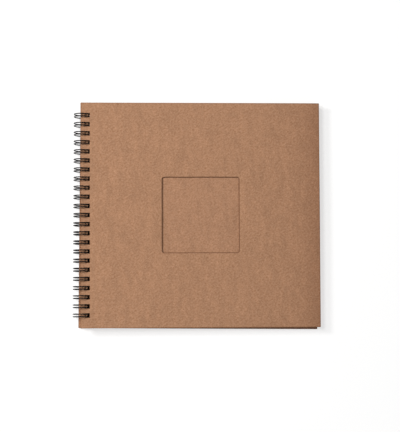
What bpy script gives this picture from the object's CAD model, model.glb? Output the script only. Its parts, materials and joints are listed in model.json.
"""Scrapbook album: kraft boards and kraft leaves on a black twin-loop wire, closed on a pale floor."""

import json
import math
import random

import bpy
from mathutils import Euler, Matrix, Vector


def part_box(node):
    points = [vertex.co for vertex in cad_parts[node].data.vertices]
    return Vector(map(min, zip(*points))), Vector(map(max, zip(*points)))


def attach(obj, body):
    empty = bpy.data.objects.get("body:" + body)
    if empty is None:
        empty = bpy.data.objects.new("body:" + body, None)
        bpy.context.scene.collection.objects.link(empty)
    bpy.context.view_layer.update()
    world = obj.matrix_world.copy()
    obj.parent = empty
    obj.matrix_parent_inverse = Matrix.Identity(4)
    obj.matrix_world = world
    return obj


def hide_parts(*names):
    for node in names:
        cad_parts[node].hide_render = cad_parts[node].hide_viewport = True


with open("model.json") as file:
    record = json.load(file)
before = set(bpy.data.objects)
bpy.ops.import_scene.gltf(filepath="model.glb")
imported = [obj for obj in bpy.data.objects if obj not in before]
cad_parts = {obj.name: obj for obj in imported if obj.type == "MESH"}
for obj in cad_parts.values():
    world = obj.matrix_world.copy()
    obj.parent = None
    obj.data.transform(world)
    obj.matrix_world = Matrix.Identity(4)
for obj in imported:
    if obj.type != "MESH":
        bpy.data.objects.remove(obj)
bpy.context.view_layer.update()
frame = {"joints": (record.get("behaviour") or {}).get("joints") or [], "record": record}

MM = 0.001

# --------------------------------------------------------------------------------------------------
# The album's dimensions, as in the CAD, in millimetres
# --------------------------------------------------------------------------------------------------
COVER_W, COVER_H, BOARD_T = 335.5, 315.0, 2.0
LINER_T = 0.5
CORNER_R = 1.0
WINDOW_W, WINDOW_H, WINDOW_R = 108.0, 106.0, 3.0
LEAF_W, LEAF_H, LEAF_T = 326.0, 305.0, 0.42
LEAVES = 20
LOOPS, PITCH = 23, 12.7
LEG_GAP, WIRE_D = 3.6, 1.5
HOLE_W, HOLE_H, MARGIN = 7.0, 6.0, 5.9
FOOT_DEG = -36.3          # where the links lie on the loops' circle
SEAM = 3.1                # from there to the bends of the tips, along the circle

leaf_names = [f"leaf_{n:02d}" for n in range(1, LEAVES + 1)]
mounts = {m["name"]: m for m in frame["record"]["mounts"]}
hinge = Vector(next(j for j in frame["joints"] if j["name"] == "leaf_01_turn")["pos_m"]) / MM
wire_low, wire_high = (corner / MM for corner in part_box("wire_binding"))
ring_r = (wire_high.z - wire_low.z) / 2
mean_r = ring_r - WIRE_D / 2


# --------------------------------------------------------------------------------------------------
# Where each sheet lies: a matrix from its own plane to the frame, in millimetres. In its own plane a
# sheet starts at x = 0 at the binding edge, is centred in y, and its underside is at z = 0.
# --------------------------------------------------------------------------------------------------
def lean(normal):
    """The angle by which a sheet with this upward normal leans towards the fore-edge."""
    return math.atan2(normal[0], normal[2])


def turned(tilt, skew):
    return Matrix.Rotation(tilt, 4, "Y") @ Matrix.Rotation(skew, 4, "Z")


def cover_place(tail_mount, tilt):
    """From the mount at the middle of a cover's tail edge. The edge's normal gives the skew."""
    mount = mounts[tail_mount]
    axis = Vector(mount["axis"])
    skew = math.asin(axis.x / math.cos(tilt))
    turn = turned(tilt, skew)
    middle = Vector((COVER_W / 2, -COVER_H / 2, BOARD_T / 2))
    return Matrix.Translation(Vector(mount["pos_m"]) / MM - turn @ middle) @ turn


def leaf_place(name):
    """From the lowest and highest corners of the leaf, which leans but isn't skewed."""
    low, high = (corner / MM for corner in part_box(name))
    turn = turned(stack_tilt, 0.0)
    corner = Vector((low.x, (low.y + high.y) / 2, high.z - LEAF_T * math.cos(stack_tilt)))
    return Matrix.Translation(corner) @ turn


stack_tilt = lean(mounts["photo_window"]["axis"])
back_low, back_high = (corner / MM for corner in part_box("back_cover"))
back_tilt = math.asin((back_high.z - back_low.z - BOARD_T) / COVER_W)


# --------------------------------------------------------------------------------------------------
# How the sheets swell: the back cover is flat, each leaf rises a little more than the one below it,
# and the front cover and its liner rise as the first leaf does
# --------------------------------------------------------------------------------------------------
SWELL = 0.9               # about what the front cover rises at the middle of its fore-edge
FLAT_STRIP = 24.0         # the punched strip stays flat
WAVE = 290.0              # length of the slow wave along the binding
RIPPLE_Y, RIPPLE_X = 23.0, 40.0     # millimetres per radian of the faint ripple
shares = random.Random(11)
steps = [shares.uniform(0.2, 1.0) ** 2 for _ in range(LEAVES)]
rise = {name: sum(steps[n:]) / sum(steps) for n, name in enumerate(leaf_names)}


def swell(x, y, share):
    """The rise of a point of a sheet, in millimetres."""
    out = max(0.0, x - FLAT_STRIP) / (COVER_W - FLAT_STRIP)
    ripple = math.sin(y / RIPPLE_Y + x / RIPPLE_X)
    along = 0.74 + 0.2 * math.cos(2 * math.pi * y / WAVE) + 0.06 * ripple
    return SWELL * share * out * out * (3 - 2 * out) * along


# --------------------------------------------------------------------------------------------------
# Mesh building
# --------------------------------------------------------------------------------------------------
def between(low, high, step):
    """Evenly spaced values from low to high, both included, about step apart."""
    count = max(1, round((high - low) / step))
    return [low + (high - low) * i / count for i in range(count + 1)]


def arc(cx, cy, r, start, end, count):
    """Points of an arc, from one angle to the other, in degrees."""
    angles = [math.radians(start + (end - start) * i / count) for i in range(count + 1)]
    return [(round(cx + r * math.cos(a), 4), round(cy + r * math.sin(a), 4)) for a in angles]


def hole_edges():
    """The y of the lower and upper edge of each punched hole."""
    middles = [(i - (LOOPS - 1) / 2) * PITCH for i in range(LOOPS)]
    return [(y - HOLE_H / 2, y + HOLE_H / 2) for y in middles]


END_STEP = 5.0            # size of the cells between the last hole and the end of the sheet


def plan(width, height, corner_r=0.0, window=None, step=12.0):
    """The flat shape of a punched sheet, as counter-clockwise polygons in its own plane."""
    half = height / 2
    holes = hole_edges()
    xs = [0.0, MARGIN, MARGIN + HOLE_W, FLAT_STRIP]
    ys = [y for pair in holes for y in pair]
    if corner_r:
        xs = xs + [corner_r, width - corner_r]
        ys = ys + [corner_r - half, half - corner_r]
    stops = [FLAT_STRIP, width - corner_r]
    if window:
        w, h, r = window
        wx, wy = (width - w) / 2, -h / 2
        stops = [FLAT_STRIP, wx, wx + r, wx + w - r, wx + w, width - corner_r]
        ys = ys + [wy, wy + r, wy + h - r, wy + h]
    for low, high in zip(stops, stops[1:]):
        xs = xs + between(low, high, step)
    ys = ys + [-half, half]
    beyond = between(holes[-1][1], half - CORNER_R, END_STEP)[1:-1]
    ys = ys + beyond + [-y for y in beyond]
    xs = sorted({round(x, 4) for x in xs + [width]})
    ys = sorted({round(y, 4) for y in ys})

    shapes = []
    for x0, x1 in zip(xs, xs[1:]):
        for y0, y1 in zip(ys, ys[1:]):
            mx, my = (x0 + x1) / 2, (y0 + y1) / 2
            if MARGIN < mx < MARGIN + HOLE_W and any(low < my < high for low, high in holes):
                continue
            if window and wx < mx < wx + w and wy < my < wy + h:
                side_x = 0 if mx < wx + r else 1 if mx > wx + w - r else None
                side_y = 0 if my < wy + r else 1 if my > wy + h - r else None
                if side_x is not None and side_y is not None:
                    shapes += inner_corner(wx + side_x * w, wy + side_y * h, r, side_x, side_y)
                continue
            outer_x = 0 if mx < corner_r else 1 if mx > width - corner_r else None
            outer_y = 0 if my < corner_r - half else 1 if my > half - corner_r else None
            if outer_x is not None and outer_y is not None:
                cx, cy = x0 if outer_x else x1, y0 if outer_y else y1
                shapes += outer_corner(cx, cy, corner_r, outer_x, outer_y)
                continue
            shapes.append([(x0, y0), (x1, y0), (x1, y1), (x0, y1)])
    return shapes


def fan(tip, rim):
    """Triangles from one point to the stretches of an arc, counter-clockwise."""
    made = [[tip, a, b] for a, b in zip(rim, rim[1:])]
    return [t if area(t) > 0 else [t[0], t[2], t[1]] for t in made]


def area(points):
    """The area of a polygon, which is negative if its points run clockwise."""
    total = 0.0
    for (ax, ay), (bx, by) in zip(points, points[1:] + points[:1]):
        total += ax * by - bx * ay
    return total / 2


WINDOW_STEPS, CORNER_STEPS = 8, 5   # stretches in the round corner of the window and of a cover
# where the quarter turn at each corner of a rectangle starts, in degrees
CORNER_START = {(0, 0): 180, (1, 0): 270, (1, 1): 0, (0, 1): 90}


def inner_corner(x, y, r, side_x, side_y):
    """The sheet that is left in a window's corner, outside the round."""
    cx, cy = x + (r if side_x == 0 else -r), y + (r if side_y == 0 else -r)
    start = CORNER_START[(side_x, side_y)]
    return fan((x, y), arc(cx, cy, r, start, start + 90, WINDOW_STEPS))


def outer_corner(cx, cy, r, side_x, side_y):
    """The quarter disc at a corner of the sheet."""
    start = CORNER_START[(side_x, side_y)]
    return fan((cx, cy), arc(cx, cy, r, start, start + 90, CORNER_STEPS))


def boundary(shapes):
    """The loops of edges that only one polygon uses, with the sheet on their left."""
    used = {}
    for s in shapes:
        for a, b in zip(s, s[1:] + s[:1]):
            used[(a, b)] = True
    following = {a: b for a, b in used if (b, a) not in used}
    loops = []
    while following:
        start = next(iter(following))
        loop, here = [start], following.pop(start)
        while here != start:
            loop.append(here)
            here = following.pop(here)
        loops.append(loop)
    return loops


def inward(loop):
    """For each point of a loop, the step into the sheet that moves both its edges by one."""
    steps_in = []
    for before, here, after in zip(loop[-1:] + loop[:-1], loop, loop[1:] + loop[:1]):
        normals = []
        for (ax, ay), (bx, by) in ((before, here), (here, after)):
            length = math.hypot(bx - ax, by - ay)
            normals.append((-(by - ay) / length, (bx - ax) / length))
        (ax, ay), (bx, by) = normals
        share = 1 / (1 + ax * bx + ay * by)
        steps_in.append(((ax + bx) * share, (ay + by) * share))
    return steps_in


ROUND_STEPS = 3           # stretches in the rounding of a sheet's edge


def profile(thickness, round_r):
    """The edge of a sheet from its top face to its underside: (step into the sheet, height)."""
    if not round_r:
        return [(0.0, thickness), (0.0, 0.0)]
    turns = [math.pi / 2 * i / ROUND_STEPS for i in range(ROUND_STEPS + 1)]
    top = [(round_r * (1 - math.sin(a)), thickness - round_r * (1 - math.cos(a))) for a in turns]
    return top + [(inset, thickness - height) for inset, height in reversed(top)]


CUT_STEP = (37.7, 61.3)   # on an endless sheet of kraft, from where one sheet is cut to the next
CUT_FIELD = (900, 700)    # after which the places start again
UNDERSIDE_SHIFT = 400.0   # from the grain of a sheet's top face to that of its underside


def grain_shift(seed):
    """Where on the endless sheet of kraft a sheet is cut. No two are cut from the same place."""
    return tuple(seed * step % field for step, field in zip(CUT_STEP, CUT_FIELD))


def sheet(name, shapes, thickness, place, materials, round_r=0.0, share=0.0, seed=0):
    """A punched sheet with real thickness. Its UVs are metres: on the faces, from where the kraft is
    cut, and on the edges, along and across them. Material 0 is the faces and material 1 the edges."""
    rim = profile(thickness, round_r)
    loops = boundary(shapes)
    vertices, ids = [], {}

    def vertex(x, y, height, key):
        if key not in ids:
            ids[key] = len(vertices)
            vertices.append(place @ Vector((x, y, height + swell(x, y, share))) * MM)
        return ids[key]

    steps_in = {p: s for loop in loops for p, s in zip(loop, inward(loop))}

    def face_vertex(p, level):
        if p in steps_in:
            return rim_vertex(p, level)
        return vertex(*p, thickness if level == 0 else 0.0, (p, level))

    def rim_vertex(p, level):
        inset, height = rim[level]
        sx, sy = steps_in[p]
        return vertex(p[0] + sx * inset, p[1] + sy * inset, height, (p, level))

    last = len(rim) - 1
    shift = Vector(grain_shift(seed))
    faces, uvs, kinds = [], [], []
    for s in shapes:
        faces.append([face_vertex(p, 0) for p in s])
        uvs.append([Vector(p) + shift for p in s])
        kinds.append(0)
        faces.append([face_vertex(p, last) for p in reversed(s)])
        uvs.append([Vector(p) + shift - Vector((UNDERSIDE_SHIFT, 0.0)) for p in reversed(s)])
        kinds.append(0)
    for loop in loops:
        run = 0.0
        for a, b in zip(loop, loop[1:] + loop[:1]):
            length = math.hypot(b[0] - a[0], b[1] - a[1])
            for level in range(last):
                faces.append([rim_vertex(a, level + 1), rim_vertex(b, level + 1),
                              rim_vertex(b, level), rim_vertex(a, level)])
                low, high = rim[level + 1][1], rim[level][1]
                uvs.append([Vector((run, low)), Vector((run + length, low)),
                            Vector((run + length, high)), Vector((run, high))])
                kinds.append(1)
            run += length

    mesh = bpy.data.meshes.new(name)
    mesh.from_pydata(vertices, [], faces)
    layer = mesh.uv_layers.new(name="UVMap")
    corner = 0
    for points in uvs:
        for p in points:
            layer.data[corner].uv = p * MM
            corner += 1
    mesh.polygons.foreach_set("material_index", kinds)
    mesh.polygons.foreach_set("use_smooth", [True] * len(kinds))
    mesh.set_sharp_from_angle(angle=math.radians(40))
    for m in materials:
        mesh.materials.append(m)
    mesh.update()
    made = bpy.data.objects.new(name, mesh)
    bpy.context.scene.collection.objects.link(made)
    return made


# --------------------------------------------------------------------------------------------------
# Materials
# --------------------------------------------------------------------------------------------------
class Nodes:
    """A short way to write a material's nodes: each call makes what it needs and joins the inputs."""

    def __init__(self, name):
        self.material = bpy.data.materials.new(name)
        self.material.use_nodes = True
        self.tree = self.material.node_tree
        self.shader = self.tree.nodes["Principled BSDF"]
        self.uv = self.tree.nodes.new("ShaderNodeUVMap").outputs[0]

    def put(self, socket, value):
        if isinstance(value, bpy.types.NodeSocket):
            self.tree.links.new(value, socket)
        else:
            socket.default_value = value

    def scaled(self, size, turn=0.0):
        """The UVs in units of size = (x, y) millimetres, turned in their plane by an angle in degrees."""
        node = self.tree.nodes.new("ShaderNodeMapping")
        node.vector_type = "TEXTURE"
        self.put(node.inputs["Vector"], self.uv)
        self.put(node.inputs["Rotation"], (0.0, 0.0, math.radians(turn)))
        self.put(node.inputs["Scale"], (size[0] * MM, size[1] * MM, 1.0))
        return node.outputs[0]

    def noise(self, size, detail=2.0, rough=0.5, turn=0.0, bend=0.0):
        node = self.tree.nodes.new("ShaderNodeTexNoise")
        self.put(node.inputs["Vector"], self.scaled(size, turn))
        self.put(node.inputs["Scale"], 1.0)
        self.put(node.inputs["Detail"], detail)
        self.put(node.inputs["Roughness"], rough)
        self.put(node.inputs["Distortion"], bend)
        return node.outputs["Fac"]

    def cells(self, size, turn=0.0):
        """Voronoi cells: the distance to the middle, and a random value for each."""
        node = self.tree.nodes.new("ShaderNodeTexVoronoi")
        self.put(node.inputs["Vector"], self.scaled(size, turn))
        self.put(node.inputs["Scale"], 1.0)
        split = self.tree.nodes.new("ShaderNodeSeparateColor")
        self.put(split.inputs[0], node.outputs["Color"])
        return node.outputs["Distance"], split.outputs[0]

    def fit(self, value, low, high, to_low=0.0, to_high=1.0):
        """value, with low to high stretched to to_low to to_high and cut off there."""
        node = self.tree.nodes.new("ShaderNodeMapRange")
        for name, v in zip(("Value", "From Min", "From Max", "To Min", "To Max"),
                           (value, low, high, to_low, to_high)):
            self.put(node.inputs[name], v)
        return node.outputs[0]

    def sum(self, kind, a, b):
        """A sum of the kind that a Math node names, such as ADD or MULTIPLY."""
        node = self.tree.nodes.new("ShaderNodeMath")
        node.operation = kind
        self.put(node.inputs[0], a)
        self.put(node.inputs[1], b)
        return node.outputs[0]

    def axes(self):
        """The two UVs, in millimetres."""
        node = self.tree.nodes.new("ShaderNodeSeparateXYZ")
        self.put(node.inputs[0], self.scaled((1.0, 1.0)))
        return node.outputs[0], node.outputs[1]

    def from_outline(self, centre, width, height, corner_r):
        """Distance in millimetres from a rounded rectangle's outline, negative inside it."""
        past = []
        for along, middle, half in zip(self.axes(), centre, (width / 2, height / 2)):
            off = self.sum("ABSOLUTE", self.sum("SUBTRACT", along, middle), 0.0)
            past.append(self.sum("SUBTRACT", off, half - corner_r))
        inner = self.sum("MINIMUM", self.sum("MAXIMUM", *past), 0.0)
        squares = [self.sum("POWER", self.sum("MAXIMUM", p, 0.0), 2.0) for p in past]
        outer = self.sum("SQRT", self.sum("ADD", *squares), 0.0)
        return self.sum("SUBTRACT", self.sum("ADD", inner, outer), corner_r)

    def mix(self, share, a, b, kind="MIX"):
        node = self.tree.nodes.new("ShaderNodeMix")
        node.data_type, node.blend_type = "RGBA", kind
        self.put(node.inputs[0], share)
        for socket, value in ((node.inputs[6], a), (node.inputs[7], b)):
            self.put(socket, value if isinstance(value, bpy.types.NodeSocket) else (*value, 1.0))
        return node.outputs[2]

    def bump(self, height, depth, strength):
        """A bump of depth millimetres."""
        node = self.tree.nodes.new("ShaderNodeBump")
        self.put(node.inputs["Height"], height)
        self.put(node.inputs["Distance"], depth * MM)
        self.put(node.inputs["Strength"], strength)
        self.put(self.shader.inputs["Normal"], node.outputs[0])

    def finish(self, colour, roughness, **fixed):
        self.put(self.shader.inputs["Base Color"], colour if isinstance(colour, bpy.types.NodeSocket)
                 else (*colour, 1.0))
        self.put(self.shader.inputs["Roughness"], roughness)
        for name, value in fixed.items():
            self.put(self.shader.inputs[name.replace("_", " ")], value)
        return self.material


def times(colour, factor):
    return tuple(c * factor for c in colour)


PALER = (0.80, 1.05, 1.32)          # how strongly red, green and blue change with the tone


def toned(colour, change):
    """A colour made lighter, and paler with it, or darker and deeper. Pale fibre is greyer."""
    return tuple(c * (1 + change * share) for c, share in zip(colour, PALER))


def kraft(name, colour, clouds=0.33, flecks=0.8, grain=1.3, seed=None):
    """Unbleached kraft: a cloudy mottle drawn out along the binding, fine light and dark fibres, and
    sparse bark specks. A seed adds the marks that handling leaves, where that sheet is cut."""
    n = Nodes(name)
    cloud = n.fit(n.noise((2.7, 2.3), 3.0, 0.72, 31.0), 0.25, 0.75)
    base = n.mix(cloud, toned(colour, -clouds), toned(colour, clouds))
    patch = n.fit(n.noise((6.0, 7.0), 1.0, 0.6, -8.0), 0.3, 0.7, 0.945, 1.055)
    drift = n.fit(n.noise((11.0, 34.0), 1.0, 0.8, 5.0), 0.3, 0.7, 0.935, 1.065)
    broad = n.fit(n.noise((40.0, 75.0), 1.0, 0.5), 0.3, 0.7, 0.98, 1.02)
    tone = n.sum("MULTIPLY", patch, n.sum("MULTIPLY", drift, broad))
    base = n.mix(1.0, base, tone, "MULTIPLY")

    fibre_a = n.fit(n.noise((3.4, 0.26), 1.0, 0.5, 24.0, 0.5), 0.60, 0.72)
    fibre_b = n.fit(n.noise((0.24, 3.0), 1.0, 0.5, 17.0, 0.5), 0.62, 0.74)
    dark_fibre = n.fit(n.noise((2.8, 0.24), 1.0, 0.5, -38.0, 0.6), 0.61, 0.73)
    light = n.sum("MULTIPLY", n.sum("MAXIMUM", fibre_a, fibre_b), 0.42 * grain)
    base = n.mix(light, base, toned(colour, 0.40))
    base = n.mix(n.sum("MULTIPLY", dark_fibre, 0.4 * grain), base, toned(colour, -0.38))

    spot, chance = n.cells((3.1, 2.1), 35.0)
    speck = n.sum("MULTIPLY", n.fit(spot, 0.12, 0.26, 1.0, 0.0), n.fit(chance, 0.80, 0.84))
    base = n.mix(n.sum("MULTIPLY", speck, flecks), base, toned(colour, -0.48))
    pale_spot, pale_chance = n.cells((4.3, 2.9), -20.0)
    pale = n.sum("MULTIPLY", n.fit(pale_spot, 0.10, 0.24, 1.0, 0.0), n.fit(pale_chance, 0.86, 0.9))
    base = n.mix(n.sum("MULTIPLY", pale, flecks * 0.8), base, toned(colour, 0.42))

    if seed is not None:
        base = handled(n, base, *grain_shift(seed))
    tooth = n.sum("ADD", n.noise((0.5, 0.42), 3.0, 0.6), n.sum("MULTIPLY", light, 1.2))
    n.bump(tooth, 0.05, 0.6)
    rough = n.fit(cloud, 0.0, 1.0, 0.90, 0.80)
    return n.finish(base, rough, Specular_IOR_Level=0.25)


# what a mark multiplies the kraft's colour by, and how much of it shows where it is strongest
WORN = (0.79, 0.745, 0.725)
RUBBED, RUBBED_SHARE = (0.66, 0.57, 0.50), 0.8
DUSTY, DUSTY_SHARE = (0.30, 0.24, 0.21), 0.75


def handled(n, base, shift_x, shift_y):
    """A cover's marks: browned where hands open it by the fore-edge, rubbed dark along its outline,
    and a dark line of dust and glue where the window is cut. Two faults are left: an underside's UVs
    lie past the outline, so all of it is rubbed dark, and the back cover gets the window's line."""
    middle = (shift_x + COVER_W / 2, shift_y)
    across = n.sum("SUBTRACT", n.axes()[0], shift_x)
    worn = n.sum("POWER", n.fit(across, COVER_W * 0.5, COVER_W), 6.0)
    base = n.mix(worn, base, n.mix(1.0, base, WORN, "MULTIPLY"))
    edge = n.fit(n.from_outline(middle, COVER_W, COVER_H, CORNER_R), -1.5, -0.1)
    base = n.mix(n.sum("MULTIPLY", edge, RUBBED_SHARE), base, n.mix(1.0, base, RUBBED, "MULTIPLY"))
    window = n.sum("ABSOLUTE", n.from_outline(middle, WINDOW_W, WINDOW_H, WINDOW_R), 0.0)
    line = n.fit(window, 0.2, 0.8, 1.0, 0.0)
    return n.mix(n.sum("MULTIPLY", line, DUSTY_SHARE), base, n.mix(1.0, base, DUSTY, "MULTIPLY"))


def cut_edge(name, colour, layer):
    """A guillotined edge: the sheet's layers show as lines along it, with torn fibre across them."""
    n = Nodes(name)
    lines = n.fit(n.noise((26.0, layer), 2.0, 0.55), 0.3, 0.7, 0.74, 1.12)
    torn = n.fit(n.noise((0.7, 0.35), 3.0, 0.6), 0.3, 0.7, 0.86, 1.1)
    base = n.mix(1.0, colour, n.sum("MULTIPLY", lines, torn), "MULTIPLY")
    n.bump(n.sum("ADD", lines, torn), 0.08, 0.7)
    return n.finish(base, 0.92, Specular_IOR_Level=0.2)


def coated_wire(name):
    """Steel wire in a black nylon coat, with a slight orange peel and rubbed places."""
    n = Nodes(name)
    rub = n.fit(n.noise((9.0, 2.5), 3.0, 0.6), 0.55, 0.75)
    base = n.mix(n.sum("MULTIPLY", rub, 0.5), (0.005, 0.005, 0.006), (0.022, 0.021, 0.020))
    n.bump(n.noise((0.6, 0.5), 2.0, 0.5), 0.012, 0.5)
    rough = n.fit(rub, 0.0, 1.0, 0.30, 0.48)
    return n.finish(base, rough, Specular_IOR_Level=0.16)


KRAFT_COVER = (0.424, 0.2245, 0.1262)
KRAFT_LINER = (0.428, 0.2265, 0.1292)
KRAFT_LEAF = (0.41, 0.226, 0.131)
CORE = (0.30, 0.155, 0.085)
FRONT, LINER, BACK = 1, 2, 3        # seeds, which the leaves' follow
cover_face = kraft("kraft_front_cover", KRAFT_COVER, seed=FRONT)
back_face = kraft("kraft_back_cover", KRAFT_COVER, seed=BACK)
cover_edge = cut_edge("kraft_board_edge", CORE, 0.22)
liner_face = kraft("kraft_liner", KRAFT_LINER, clouds=0.31, flecks=0.7, seed=LINER)
leaf_face = kraft("kraft_leaf", KRAFT_LEAF, clouds=0.27, flecks=0.5, grain=1.0)
leaf_edge = cut_edge("kraft_leaf_edge", times(KRAFT_LEAF, 0.86), 0.12)
wire_coat = coated_wire("black_coated_wire")


# --------------------------------------------------------------------------------------------------
# The sheets
# --------------------------------------------------------------------------------------------------
EDGE_ROUND = 0.28         # rounding of a board's pressed edge
front_place = cover_place("front_cover_tail_edge", stack_tilt)
back_place = cover_place("back_cover_tail_edge", back_tilt)
liner_place = front_place @ Matrix.Translation((0, 0, -LINER_T))


def put_on(piece, body, node):
    """A piece takes its finish from a slot, stands for a CAD node and moves with a body."""
    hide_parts(node)
    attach(piece, body)


front = sheet("front_board", plan(COVER_W, COVER_H, CORNER_R, (WINDOW_W, WINDOW_H, WINDOW_R)), BOARD_T,
              front_place, (cover_face, cover_edge), EDGE_ROUND, share=1.0, seed=FRONT)
put_on(front, "front_cover", "front_cover")

liner = sheet("front_liner_sheet", plan(COVER_W, COVER_H, CORNER_R), LINER_T,
              liner_place, (liner_face, leaf_edge), 0.0, share=1.0, seed=LINER)
put_on(liner, "front_cover", "front_liner")

back = sheet("back_board", plan(COVER_W, COVER_H, CORNER_R), BOARD_T,
             back_place, (back_face, cover_edge), EDGE_ROUND, seed=BACK)
put_on(back, "binding", "back_cover")

leaf_plan = plan(LEAF_W, LEAF_H, step=18.0)
for number, name in enumerate(leaf_names):
    leaf = sheet(name + "_card", leaf_plan, LEAF_T, leaf_place(name), (leaf_face, leaf_edge),
                 share=rise[name], seed=BACK + 1 + number)
    put_on(leaf, name, name)


# --------------------------------------------------------------------------------------------------
# The wire: one path through every loop, link and tip, swept with a round section
# --------------------------------------------------------------------------------------------------
ELBOW_R = 1.2             # bend of the wire's middle line, between a leg and a link
LEAN = math.radians(2.2)  # the loops lean along the binding, within the play in the holes
TIP_STEPS, ELBOW_STEPS = 12, 5      # stretches in a round tip and in an elbow
SECTION = 14              # sides of the swept wire
ARC_STEP = 3.2            # degrees along a loop


def ring_point(angle, y, ahead=0.0, across=0.0):
    """A point on the loops' circle, which leans. ahead moves it along the tangent, towards growing
    angles, and across moves it along the binding, both in millimetres."""
    a = math.radians(angle)
    x = mean_r * math.cos(a) - ahead * math.sin(a)
    z = mean_r * math.sin(a) + ahead * math.cos(a)
    return Vector((hinge.x + x, hinge.y + y + across + z * math.tan(LEAN), hinge.z + z))


def wire_path():
    """From the cut end of the first loop's first leg to the cut end of the last loop's second leg."""
    per_mm = math.degrees(1 / mean_r)
    tip = FOOT_DEG + SEAM * per_mm
    elbow_start = FOOT_DEG - ELBOW_R * per_mm
    points = []
    for i in range(LOOPS):
        y = (i - (LOOPS - 1) / 2) * PITCH
        first = FOOT_DEG if i == 0 else elbow_start
        last = FOOT_DEG if i == LOOPS - 1 else elbow_start
        # the first leg, from its foot round under the album and over to the tip
        count = round((first - (tip - 360)) / ARC_STEP)
        points += [ring_point(first + (tip - 360 - first) * k / count, y - LEG_GAP / 2)
                   for k in range(count + 1)]
        # the round tip
        for k in range(1, TIP_STEPS):
            a = math.pi * k / TIP_STEPS
            r = LEG_GAP / 2
            points.append(ring_point(tip, y, ahead=-r * math.sin(a), across=-r * math.cos(a)))
        # the second leg, back to its foot
        count = round((last - (tip - 360)) / ARC_STEP)
        points += [ring_point(tip - 360 + (last - tip + 360) * k / count, y + LEG_GAP / 2)
                   for k in range(count + 1)]
        if i == LOOPS - 1:
            break
        # the link to the next loop
        for k in range(1, ELBOW_STEPS + 1):
            a = math.pi / 2 * k / ELBOW_STEPS
            points.append(ring_point(elbow_start, y + LEG_GAP / 2, ahead=ELBOW_R * math.sin(a),
                                     across=ELBOW_R * (1 - math.cos(a))))
        for k in range(ELBOW_STEPS, 0, -1):
            a = math.pi / 2 * k / ELBOW_STEPS
            points.append(ring_point(elbow_start, y + PITCH - LEG_GAP / 2, ahead=ELBOW_R * math.sin(a),
                                     across=-ELBOW_R * (1 - math.cos(a))))
    return points


DOME = 0.15               # height of a cut end's dome, as a share of the wire's radius


def swept(name, points, radius, material):
    """A round tube along points, in millimetres, with slightly domed ends. Its UVs are metres along
    and round the tube."""
    tangents = [(b - a).normalized() for a, b in zip(points[:1] + points[:-1], points[1:] + points[-1:])]
    side = tangents[0].cross(Vector((0, 1, 0))).normalized()
    rings, vertices, faces, uvs, run = [], [], [], [], [0.0]
    for k, (p, t) in enumerate(zip(points, tangents)):
        side = (side - t * side.dot(t)).normalized()
        other = t.cross(side)
        ring = []
        for s in range(SECTION):
            a = 2 * math.pi * s / SECTION
            ring.append(len(vertices))
            vertices.append((p + (side * math.cos(a) + other * math.sin(a)) * radius) * MM)
        rings.append(ring)
        if k:
            run.append(run[-1] + (p - points[k - 1]).length)
    around = 2 * math.pi * radius
    for k in range(len(rings) - 1):
        for s in range(SECTION):
            n = (s + 1) % SECTION
            faces.append([rings[k][s], rings[k][n], rings[k + 1][n], rings[k + 1][s]])
            low, high = around * s / SECTION, around * (s + 1) / SECTION
            uvs += [(run[k], low), (run[k], high), (run[k + 1], high), (run[k + 1], low)]
    for k, outward in ((0, -1), (len(rings) - 1, 1)):
        middle = len(vertices)
        vertices.append((points[k] + tangents[k] * outward * radius * DOME) * MM)
        for s in range(SECTION):
            n = (s + 1) % SECTION
            rim = (rings[k][s], rings[k][n])
            faces.append([middle, *(rim if outward > 0 else rim[::-1])])
            uvs += [(run[k], 0.0)] * 3
    mesh = bpy.data.meshes.new(name)
    mesh.from_pydata(vertices, [], faces)
    layer = mesh.uv_layers.new(name="UVMap")
    for corner, (u, v) in enumerate(uvs):
        layer.data[corner].uv = (u * MM, v * MM)
    mesh.polygons.foreach_set("use_smooth", [True] * len(faces))
    mesh.set_sharp_from_angle(angle=math.radians(50))
    mesh.materials.append(material)
    mesh.update()
    made = bpy.data.objects.new(name, mesh)
    bpy.context.scene.collection.objects.link(made)
    return made


wire = swept("twin_loop_wire", wire_path(), WIRE_D / 2, wire_coat)
put_on(wire, "binding", "wire_binding")


# --------------------------------------------------------------------------------------------------
# Floor, light and camera
# --------------------------------------------------------------------------------------------------
def floor():
    """A white table that glows a little, as a lit sweep does, so that shadows stay pale."""
    half = 12.0
    mesh = bpy.data.meshes.new("floor")
    corners = [(-half, -half, 0), (half, -half, 0), (half, half, 0), (-half, half, 0)]
    mesh.from_pydata(corners, [], [(0, 1, 2, 3)])
    made = bpy.data.objects.new("floor", mesh)
    bpy.context.scene.collection.objects.link(made)
    n = Nodes("floor_white")
    mesh.materials.append(n.finish((0.45, 0.45, 0.45), 0.9, Specular_IOR_Level=0.0,
                                   Emission_Color=(1.0, 1.0, 1.0, 1.0), Emission_Strength=0.63))


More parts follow.
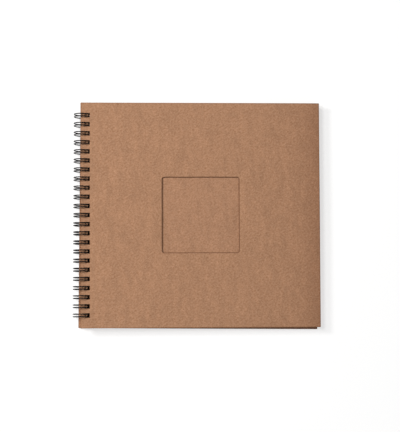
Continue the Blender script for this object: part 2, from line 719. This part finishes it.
def area_light(name, place, aim, size, energy, colour):
    data = bpy.data.lights.new(name, "AREA")
    data.shape, data.size, data.energy, data.color = "DISK", size, energy, colour
    made = bpy.data.objects.new(name, data)
    made.location = place
    made.rotation_euler = (Vector(aim) - Vector(place)).to_track_quat("-Z", "Y").to_euler()
    bpy.context.scene.collection.objects.link(made)


WARM, COOL = (1.0, 0.99, 0.975), (0.97, 0.985, 1.0)


def studio():
    """Two lamps over the binding side, weak ones at the tail and the fore-edge, and a pale surround."""
    area_light("key", (-1.68, 0.80, 1.50), (0.0, 0.0, 0.0), 0.55, 31.1, WARM)
    area_light("top", (-1.05, 0.46, 2.30), (0.0, 0.0, 0.0), 0.80, 29.2, WARM)
    area_light("fill", (0.5, -1.3, 1.5), (0.0, 0.0, 0.0), 0.6, 3.0, COOL)
    area_light("side", (2.30, -0.30, 0.45), (0.0, 0.0, 0.08), 1.0, 6.0, COOL)
    world = bpy.data.worlds.new("studio")
    world.use_nodes = True
    tree = world.node_tree
    background = tree.nodes["Background"]
    background.inputs["Color"].default_value = (*COOL, 1.0)
    # the walls are paler than the ceiling
    axes = tree.nodes.new("ShaderNodeSeparateXYZ")
    tree.links.new(tree.nodes.new("ShaderNodeTexCoord").outputs["Generated"], axes.inputs[0])
    height = tree.nodes.new("ShaderNodeMapRange")
    tree.links.new(axes.outputs[2], height.inputs["Value"])
    for name, value in zip(("From Min", "From Max", "To Min", "To Max"), (0.1, 0.5, 0.46, 0.11)):
        height.inputs[name].default_value = value
    tree.links.new(height.outputs[0], background.inputs["Strength"])
    scene = bpy.context.scene
    scene.world = world
    scene.view_settings.view_transform = "Standard"
    scene.view_settings.look = "None"


LENS = 1400.0 / 432.0     # focal length over the height that it takes in on the sensor


def camera():
    """Almost straight above, a little to the binding side and the tail, looking at the middle."""
    data = bpy.data.cameras.new("camera")
    made = bpy.data.objects.new("camera", data)
    made.location = Vector((-85.5, -102.5, 1970.0)) * MM
    made.rotation_euler = Euler([math.radians(a) for a in (2.972, -2.619, 0.061)], "XYZ")
    data.sensor_width = 36.0
    data.lens = data.sensor_width * LENS
    data.clip_start, data.clip_end = 0.05, 20.0
    bpy.context.scene.collection.objects.link(made)
    bpy.context.scene.camera = made


floor()
studio()
camera()
